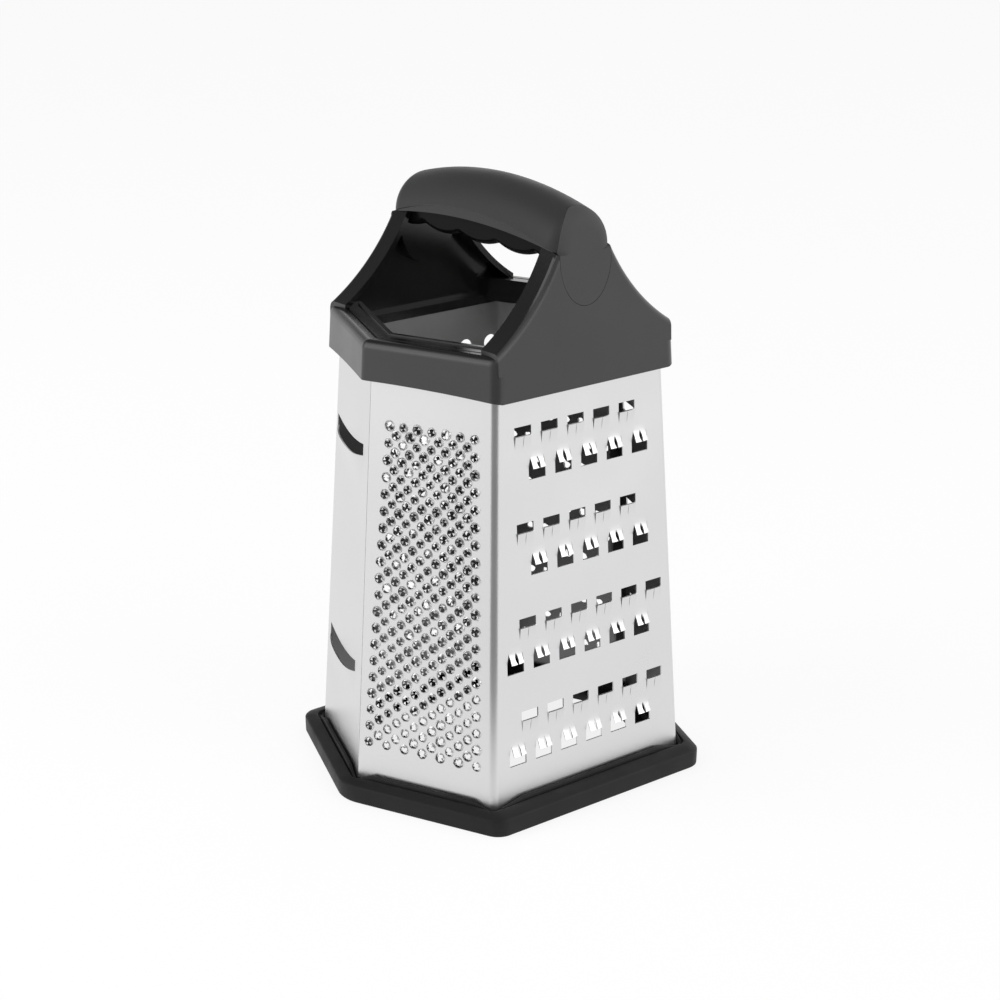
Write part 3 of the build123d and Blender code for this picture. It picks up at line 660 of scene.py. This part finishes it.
def bend_strip(shape, corner, start=0, end=bend_steps):
    """The bent strip of sheet at one corner of the body, from one step of its arc to another."""
    rows = {}
    for z in (steel_low_z, steel_high_z):
        for out in (0.0, -sheet):
            arc = shell_arcs(z, out)[corner][start:end + 1]
            rows[z, out] = [shape.verts.new(Vector((point.x, point.y, z)) * MM) for point in arc]
    low, high = rows[steel_low_z, 0.0], rows[steel_high_z, 0.0]
    low_in, high_in = rows[steel_low_z, -sheet], rows[steel_high_z, -sheet]
    for i in range(end - start):
        shape.faces.new((low[i], low[i + 1], high[i + 1], high[i]))
        # The inner face of the bend gets the inner steel, painted dark as painted shade
        lining = shape.faces.new((low_in[i + 1], low_in[i], high_in[i], high_in[i + 1]))
        lining.material_index = 1
        shape.faces.new((low[i + 1], low[i], low_in[i], low_in[i + 1]))
        shape.faces.new((high[i], high[i + 1], high_in[i + 1], high_in[i]))
    if start > 0:
        shape.faces.new((low[0], high[0], high_in[0], low_in[0]))
    if end < bend_steps:
        shape.faces.new((high[-1], low[-1], low_in[-1], high_in[-1]))


flange_low_z, flange_high_z = 15.0, 168.0
flange_depth, flange_root = 5.0, 0.3


def seam_flange(shape, corner, side):
    """The narrow flange that is folded inwards at a ridge and welded to the other shell's."""
    inward = 1 if corner == 0 else -1
    points = []
    for z in (flange_low_z, flange_high_z):
        tip = six_corners(z, -sheet, -sheet)[corner].y
        for x in (0.0, side * sheet):
            for y in (tip + inward * flange_root, tip + inward * flange_depth):
                points.append(shape.verts.new(Vector((x, y, z)) * MM))
    a, b, c, d, e, f, g, h = points
    made = [shape.faces.new(face) for face in (
        (a, b, d, c), (e, g, h, f), (a, e, f, b), (c, d, h, g), (b, f, h, d), (a, c, g, e))]
    bmesh.ops.recalc_face_normals(shape, faces=made)
    # The whole flange gets the inner steel, painted dark as painted shade
    for face in made:
        face.material_index = 1


def steel_shell(name, faces, corners, halves):
    """A shell of three pierced faces, its bends and its half ridges, as one piece."""
    shape = bmesh.new()
    for face in faces:
        shape.from_mesh(face)
    for corner in corners:
        bend_strip(shape, corner)
    for corner, start, end, side in halves:
        bend_strip(shape, corner, start, end)
        seam_flange(shape, corner, side)
    bmesh.ops.remove_doubles(shape, verts=shape.verts, dist=2e-5)
    mesh = bpy.data.meshes.new(name)
    shape.to_mesh(mesh)
    shape.free()
    mesh.materials.append(steel_bright)
    mesh.materials.append(inner_steel_painted_shade)
    mesh.shade_smooth()
    mesh.set_sharp_from_angle(angle=math.radians(40))
    rough = bpy.data.objects.new(name + "_rough", mesh)
    scene.collection.objects.link(rough)
    weighting = rough.modifiers.new("flat_faces_first", "WEIGHTED_NORMAL")
    weighting.keep_sharp = True
    weighting.weight = 100
    smooth = bpy.data.meshes.new_from_object(rough.evaluated_get(bpy.context.evaluated_depsgraph_get()))
    bpy.data.objects.remove(rough)
    smooth.name = name
    shell = bpy.data.objects.new(name, smooth)
    scene.collection.objects.link(shell)
    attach(shell, "grater")
    return shell


tongue_length = 6.4


def pronged_tongue(half_width, slit_width, side_width, slit_length, rise, rows=20, columns=6):
    """A coarse tooth: a blister of sheet that is slit at both sides and in the middle into two prongs."""
    early_lift, held_flank, freeing = 0.15, 0.85, 0.4
    shape = bmesh.new()
    for prong in range(2):
        grid = []
        for row in range(rows + 1):
            share = row / rows
            y = -tongue_length * (1 - share)
            depth = max(0.0, 1 + y / slit_length)
            gape = math.sin(0.85 * math.pi * depth)
            ends = [-half_width + side_width * gape, -slit_width / 2 * gape]
            if prong == 1:
                ends = [-ends[1], -ends[0]]
            lift = early_lift * share + (1 - early_lift) * share ** 2.6
            freed = min(1.0, depth / freeing)
            line = []
            for column in range(columns + 1):
                x = ends[0] + (ends[1] - ends[0]) * column / columns
                flank = 1 - (1 - held_flank * freed) * (abs(x) / half_width) ** 4
                line.append(shape.verts.new((x, y, rise * lift * flank)))
            grid.append(line)
        for line, above in zip(grid, grid[1:]):
            for column in range(columns):
                shape.faces.new((line[column], line[column + 1], above[column + 1], above[column]))
    bmesh.ops.remove_doubles(shape, verts=shape.verts, dist=0.001)
    bmesh.ops.solidify(shape, geom=shape.faces[:], thickness=sheet)
    return shape


openings, teeth = tool_set("coarse_openings"), tool_set("coarse_teeth")
mouth_half, mouth_overlap = 4, 0.2
for kind, half_width, opening, slit_width, side_width, slit_length, rise in (
    ("a_up", 3.95, 3.6, 0.2, 0.05, 4.8, 0.8), ("b_down", 3.2, 4.4, 1.5, 0.3, 4.2, 1.9),
):
    right_side = [(half_width, -tongue_length), (half_width, -slit_length), (mouth_half, -mouth_overlap),
                  (mouth_half, opening)]
    left_side = [(-x, y) for x, y in reversed(right_side)]
    outline_object("opening_" + kind, right_side + left_side, openings)
    tongue = pronged_tongue(half_width, slit_width, side_width, slit_length, rise)
    tooth_object("tongue_" + kind, tongue, teeth)
coarse_pitch, coarse_shift = 12.7, 2.25
coarse_top_z, coarse_pair_pitch, coarse_row_gap = 143.95, 36.9, 12.9
coarse_places = []
for pair, count in enumerate((5, 5, 6, 6)):
    for kind, sign, turn in ((0, 1, 0.0), (1, -1, math.pi)):
        z = coarse_top_z - coarse_pair_pitch * pair + sign * coarse_row_gap / 2
        for index in range(count):
            across = sign * (index - coarse_shift) * coarse_pitch
            coarse_places.append((across, up_face("coarse", z), turn, kind))
coarse_mesh = pierce("coarse", coarse_places, openings, teeth)


def closed_rows(shape, rows, lining_from):
    """Faces between closed rows of vertices. From a given row on they are the lining of a hole, which gets
    the inner steel, painted dark as painted shade.
    """
    lining = shape.faces.layers.int.new("lining")
    steps = len(rows[0])
    for number, (row, above) in enumerate(zip(rows, rows[1:] + rows[:1])):
        for index in range(steps):
            after = (index + 1) % steps
            wall = shape.faces.new((row[index], row[after], above[after], above[index]))
            wall[lining] = int(number >= lining_from)


def torn_point(seed, hole_radius, rim_radius, foot_radius, height, petals=4, shards=3):
    """A pierced point, torn into petals and shards. Returns the outline of its hole, and its burr."""
    draw = random.Random(seed)
    steps = 18
    overlap = 0.12
    hole = []
    rows = [[], [], [], []]
    shape = bmesh.new()
    for step in range(steps):
        angle = 2 * math.pi * step / steps
        petal = 0.5 + 0.5 * math.cos(petals * angle)
        inner = hole_radius * (1.12 - 0.2 * petal) * draw.uniform(0.88, 1.1)
        rim = rim_radius * draw.uniform(0.94, 1.06)
        foot = foot_radius * draw.uniform(0.96, 1.04)
        top = height * (0.3 + 0.7 * petal) * draw.uniform(0.75, 1.15)
        heading = Vector((math.cos(angle), math.sin(angle), 0))
        hole.append((heading.x * (inner + overlap), heading.y * (inner + overlap)))
        profile = ((foot, -0.05), (rim, top * 0.7), (inner + overlap, top), (inner, -sheet))
        for row, (radius, z) in zip(rows, profile):
            row.append(shape.verts.new((heading.x * radius, heading.y * radius, z)))
    closed_rows(shape, rows, 2)
    for shard in range(shards):
        angle = 2 * math.pi * (shard + draw.uniform(-0.3, 0.3)) / shards
        tip_turn = draw.uniform(-0.5, 0.5)
        tip_radius = hole_radius * draw.uniform(0.15, 0.5)
        tip_height = height * draw.uniform(-0.3, 0.7)
        corners = []
        for turn, radius, z in (
            (-0.42, hole_radius, height * 0.4), (0.42, hole_radius, height * 0.5),
            (tip_turn, tip_radius, tip_height), (0.0, hole_radius, -0.4),
        ):
            along, across = math.cos(angle + turn), math.sin(angle + turn)
            corners.append(shape.verts.new((along * radius, across * radius, z)))
        faces = ((0, 1, 2), (0, 2, 3), (1, 3, 2), (0, 3, 1))
        made = [shape.faces.new([corners[i] for i in face]) for face in faces]
        bmesh.ops.recalc_face_normals(shape, faces=made)
    return hole, shape


openings, teeth = tool_set("fine_openings"), tool_set("fine_teeth")
fine_kinds = 6
for variant in range(fine_kinds):
    hole, burr = torn_point(20 + variant, 1.5, 1.85, 2.2, 0.8)
    outline_object(f"hole_{variant}", hole, openings)
    tooth_object(f"burr_{variant}", burr, teeth)
fine_rows, fine_in_row = 39, 7
fine_top_z, fine_bottom_z = 150.0, 23.4
fine_left_top, fine_left_bottom = -18.1, -25.4
fine_right_top, fine_right_bottom = 17.9, 22.3
draw = random.Random(7)
fine_places = []
for step in range(fine_rows):
    down = step / (fine_rows - 1)
    left = fine_left_top + down * (fine_left_bottom - fine_left_top)
    right = fine_right_top + down * (fine_right_bottom - fine_right_top)
    z = fine_top_z + down * (fine_bottom_z - fine_top_z)
    for index in range(fine_in_row - step % 2):
        across = left + (right - left) / (fine_in_row - 1) * (index + (step % 2) / 2)
        fine_places.append((across, up_face("fine", z), 0.0, draw.randrange(fine_kinds)))
fine_mesh = pierce("fine", fine_places, openings, teeth, size_spread=0.1, turn_spread=0.5, seed=3)


def slicing_lip(half_span, edge_at, root_y, rise, fullness, columns=32, rows=8):
    """A raised lip of sheet under a slicing slot. It stands out most at mid span and runs into the face."""
    shape = bmesh.new()
    sides = []
    for depth in (0.0, sheet):
        grid = []
        for column in range(columns + 1):
            x = half_span * (2 * column / columns - 1)
            edge_y = edge_at(x)
            line = []
            for row in range(rows + 1):
                away = row / rows
                y = edge_y + (root_y - edge_y) * away
                z = rise * (1 - abs(x / half_span) ** fullness) * (1 - away) ** 1.6
                line.append(shape.verts.new((x, y, z - depth)))
            grid.append(line)
        sides.append(grid)
    outer, inner = sides
    for i in range(columns):
        for row in range(rows):
            shape.faces.new((outer[i][row + 1], outer[i + 1][row + 1], outer[i + 1][row], outer[i][row]))
            shape.faces.new((inner[i][row], inner[i + 1][row], inner[i + 1][row + 1], inner[i][row + 1]))
        shape.faces.new((outer[i][0], outer[i + 1][0], inner[i + 1][0], inner[i][0]))
        shape.faces.new((outer[i + 1][rows], outer[i][rows], inner[i][rows], inner[i + 1][rows]))
    for row in range(rows):
        shape.faces.new((outer[0][row + 1], outer[0][row], inner[0][row], inner[0][row + 1]))
        shape.faces.new((outer[-1][row], outer[-1][row + 1], inner[-1][row + 1], inner[-1][row]))
    return shape


ripple_half, ripple_top, ripple_root = 19.5, 4.1, -9.0
ripple_depth, ripple_waves = 1.1, 8
ripple_high_z, ripple_pitch = 134.2, 42.0


def ripple_edge(x):
    """Height of the lip's waved edge."""
    return -ripple_depth * abs(math.sin(math.pi * ripple_waves * (x + ripple_half) / (2 * ripple_half)))


openings, teeth = tool_set("ripple_openings"), tool_set("ripple_teeth")
ripple_opening = [(-ripple_half, ripple_root), (ripple_half, ripple_root), (ripple_half, ripple_top),
                  (-ripple_half, ripple_top)]
outline_object("ripple_opening", ripple_opening, openings)
ripple_lip = slicing_lip(ripple_half, ripple_edge, ripple_root, 2.0, fullness=2.5, columns=64)
tooth_object("ripple_lip", ripple_lip, teeth)
ripple_places = [(0.0, up_face("ripple", ripple_high_z - ripple_pitch * index), 0.0, 0) for index in range(3)]
ripple_mesh = pierce("ripple", ripple_places, openings, teeth)

front_shell = steel_shell("front_shell_sheet", (fine_mesh, coarse_mesh, ripple_mesh), (1, 2),
                          ((0, seam_after, bend_steps, 1), (3, 0, seam_before, 1)))
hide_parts("front_shell")

# Rear shell. The other sheet of the same steel, bent to meet the front one at both ridges: two slicing
# slots with a smiling edge, round medium teeth with a hood under each hole, and small pierced holes.
slot_half, slot_drop, slot_gap, slot_end_gap, slot_root = 20.9, 2.1, 4.8, 4.6, -15.8
slot_shift, slot_heights = -1.9, (137.2, 49.6)


def smile(x):
    """Height of the slot's upper edge."""
    return slot_drop * (x / slot_half) ** 2


def lower_lip(x):
    """Height of the slot's lower edge."""
    return (slot_drop - slot_end_gap + slot_gap) * (x / slot_half) ** 2 - slot_gap


openings, teeth = tool_set("slicer_openings"), tool_set("slicer_teeth")
upper_steps = 24
upper_edge = []
for step in range(upper_steps + 1):
    across = slot_half * (2 * step / upper_steps - 1)
    upper_edge.append((across, smile(across)))
outline_object("smile_opening", upper_edge + [(slot_half, slot_root), (-slot_half, slot_root)], openings)
tooth_object("smile_lip", slicing_lip(slot_half, lower_lip, slot_root, 2.0, fullness=4), teeth)
slicer_places = [(slot_shift, up_face("slicer", z), 0.0, 0) for z in slot_heights]
slicer_mesh = pierce("slicer", slicer_places, openings, teeth)


def hooded_hole(hole_radius, hood_wall, rise):
    """A medium tooth: a round hole with a hood of sheet pushed out round its lower half."""
    steps = 24
    hole = []
    shape = bmesh.new()
    rows = [[], [], [], [], []]
    for step in range(steps):
        angle = 2 * math.pi * step / steps
        lift = max(0.0, -math.sin(angle)) ** 0.7
        heading = Vector((math.cos(angle), math.sin(angle), 0))
        hole.append((heading.x * (hole_radius + 0.1), heading.y * (hole_radius + 0.1)))
        profile = (
            (hole_radius + hood_wall, -0.05), (hole_radius + hood_wall * 0.55, rise * lift * 0.75),
            (hole_radius + 0.15, rise * lift + 0.02), (hole_radius, rise * lift * 0.8),
            (hole_radius, -sheet * 0.9),
        )
        for row, (radius, z) in zip(rows, profile):
            row.append(shape.verts.new((heading.x * radius, heading.y * radius, z)))
    closed_rows(shape, rows, 3)
    return hole, shape


openings, teeth = tool_set("medium_openings"), tool_set("medium_teeth")
hole, hood = hooded_hole(3.1, 1.4, 1.7)
outline_object("round_opening", hole, openings)
tooth_object("hood", hood, teeth)
medium_rows, medium_in_row, medium_pitch = 11, 6, 12.8
medium_low_z, medium_row_pitch, medium_stagger = 30.3, 12.42, 0.25
medium_places = []
for row in range(medium_rows):
    stagger = medium_stagger if row % 2 else -medium_stagger
    for index in range(medium_in_row):
        across = (index - (medium_in_row - 1) / 2 + stagger) * medium_pitch
        medium_places.append((across, up_face("medium", medium_low_z + row * medium_row_pitch), 0.0, 0))
medium_mesh = pierce("medium", medium_places, openings, teeth)

openings, teeth = tool_set("small_openings"), tool_set("small_teeth")
small_kinds = 3
for variant in range(small_kinds):
    hole, burr = torn_point(60 + variant, 1.65, 1.95, 2.3, 0.9, petals=3, shards=0)
    outline_object(f"hole_{variant}", hole, openings)
    tooth_object(f"burr_{variant}", burr, teeth)
small_rows, small_pitch, small_low_z, small_row_pitch = 14, 7.1, 24.0, 10.0
small_places = []
for row in range(small_rows):
    count = 6 + row % 2
    z = small_low_z + row * small_row_pitch
    for index in range(count):
        across = (index - (count - 1) / 2) * small_pitch
        small_places.append((across, up_face("small", z), 0.0, draw.randrange(small_kinds)))
small_mesh = pierce("small", small_places, openings, teeth, size_spread=0.05, turn_spread=0.4, seed=5)

rear_shell = steel_shell("rear_shell_sheet", (slicer_mesh, medium_mesh, small_mesh), (4, 5),
                         ((3, seam_after, bend_steps, -1), (0, 0, seam_before, -1)))
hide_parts("rear_shell")

# Cap. One moulding of hard black plastic that snaps over the steel's upper edge: a skirt, a rim with two
# rails inside, and two cheeks that rise to carry the grip. Its outer faces are moulded with a fine spark
# grain, its inner faces and the beam between the cheeks are polished and painted darker as painted shade,
# and its edges are rubbed bright.
cap_plastic = surface_material(
    "cap_plastic", colour=(0.034, 0.034, 0.0345), patch_colour=(0.042, 0.042, 0.0425),
    edge_colour=(0.06, 0.06, 0.06), rough_low=0.28, rough_high=0.36, grain_scale=3500, stretch_up=1.0,
    patch_scale=45, bump_height=0.000012, edge_radius=0.0005, specular=0.5,
)
# A face is an outer one where it looks away from the axis, and isn't the side of the beam
tree = cap_plastic.node_tree
cap_shader = tree.nodes["Principled BSDF"]
cap_place = add_node(tree, "ShaderNodeTexCoord").outputs["Object"]
level = add_node(tree, "ShaderNodeVectorMath", {0: cap_place, 1: (1, 1, 0)}, operation="MULTIPLY")
from_axis = add_node(tree, "ShaderNodeVectorMath", {0: level.outputs[0]}, operation="NORMALIZE")
cap_normal = add_node(tree, "ShaderNodeNewGeometry")
faces_out = add_node(tree, "ShaderNodeVectorMath", {
    0: from_axis.outputs[0], 1: cap_normal.outputs["Normal"]}, operation="DOT_PRODUCT")
outside = add_node(tree, "ShaderNodeMapRange", {
    "Value": faces_out.outputs["Value"], "From Min": 0.45, "From Max": 0.75}, interpolation_type="SMOOTHSTEP")
cap_parts = add_node(tree, "ShaderNodeSeparateXYZ", {0: cap_place})
sideways = add_node(tree, "ShaderNodeMath", {0: cap_parts.outputs["X"]}, operation="ABSOLUTE")
past_beam = add_node(tree, "ShaderNodeMath", {0: sideways.outputs[0], 1: 0.034}, operation="GREATER_THAN")
below_beam = add_node(tree, "ShaderNodeMath", {0: cap_parts.outputs["Z"], 1: 0.2}, operation="LESS_THAN")
off_beam = add_node(tree, "ShaderNodeMath", {
    0: past_beam.outputs[0], 1: below_beam.outputs[0]}, operation="MAXIMUM")
outer_face = add_node(tree, "ShaderNodeMath", {
    0: outside.outputs["Result"], 1: off_beam.outputs[0]}, operation="MULTIPLY")
# The other faces are polished and painted near-black as painted shade; the outer faces keep the grained
# colour
for socket_name, data_type, polished_and_painted_shade in (
    ("Base Color", "RGBA", (0.008, 0.008, 0.008, 1)), ("Roughness", "FLOAT", 0.16),
):
    grained = cap_shader.inputs[socket_name].links[0].from_socket
    blend = add_node(tree, "ShaderNodeMix", {
        "Factor": outer_face.outputs[0], "A": polished_and_painted_shade, "B": grained}, data_type=data_type)
    tree.links.new(blend.outputs["Result"], cap_shader.inputs[socket_name])
frame["nodes"]["handle_frame"].material_slots[0].material = cap_plastic

# Finger rest. A glossy black insert of the same plastic with five shallow lobes for the fingers, pressed
# into the underside of the beam. It is painted near-black with little reflection, as painted shade under the
# beam.
# Near-black colour and weak reflection: painted shade under the beam
rest_plastic = surface_material(
    "rest_plastic", colour=(0.004, 0.004, 0.004), patch_colour=(0.006, 0.006, 0.006),
    edge_colour=(0.02, 0.02, 0.02), rough_low=0.18, rough_high=0.28, grain_scale=1500, stretch_up=1.0,
    patch_scale=60, bump_height=0.000006, edge_radius=0.0004, specular=0.06,
)
frame["nodes"]["finger_rest"].material_slots[0].material = rest_plastic

# Grip cover. A matt shell of soft-touch plastic, arched and round on top, snapped over the beam and
# rounded over at both ends. A thin seam shows where it meets the cheeks.
cover_plastic = surface_material(
    "cover_plastic", colour=(0.036, 0.036, 0.0362), patch_colour=(0.044, 0.044, 0.0442),
    edge_colour=(0.06, 0.06, 0.06), rough_low=0.42, rough_high=0.52, grain_scale=4500, stretch_up=1.0,
    patch_scale=50, bump_height=0.00001, edge_radius=0.0004, specular=0.22,
)
frame["nodes"]["grip_cover"].material_slots[0].material = cover_plastic

# End pads. Two oval plugs of black rubber with a fine leathery grain, pressed flush into pockets in the
# cheeks, one over each shoulder of the grip.
pad_rubber = surface_material(
    "pad_rubber", colour=(0.060, 0.060, 0.061), patch_colour=(0.074, 0.074, 0.075),
    edge_colour=(0.10, 0.10, 0.10), rough_low=0.6, rough_high=0.72, grain_scale=1400, stretch_up=1.0,
    patch_scale=80, bump_height=0.00005, edge_radius=0.0003, specular=0.35,
)
for end in ("end_pad_front", "end_pad_rear"):
    frame["nodes"][end].material_slots[0].material = pad_rubber
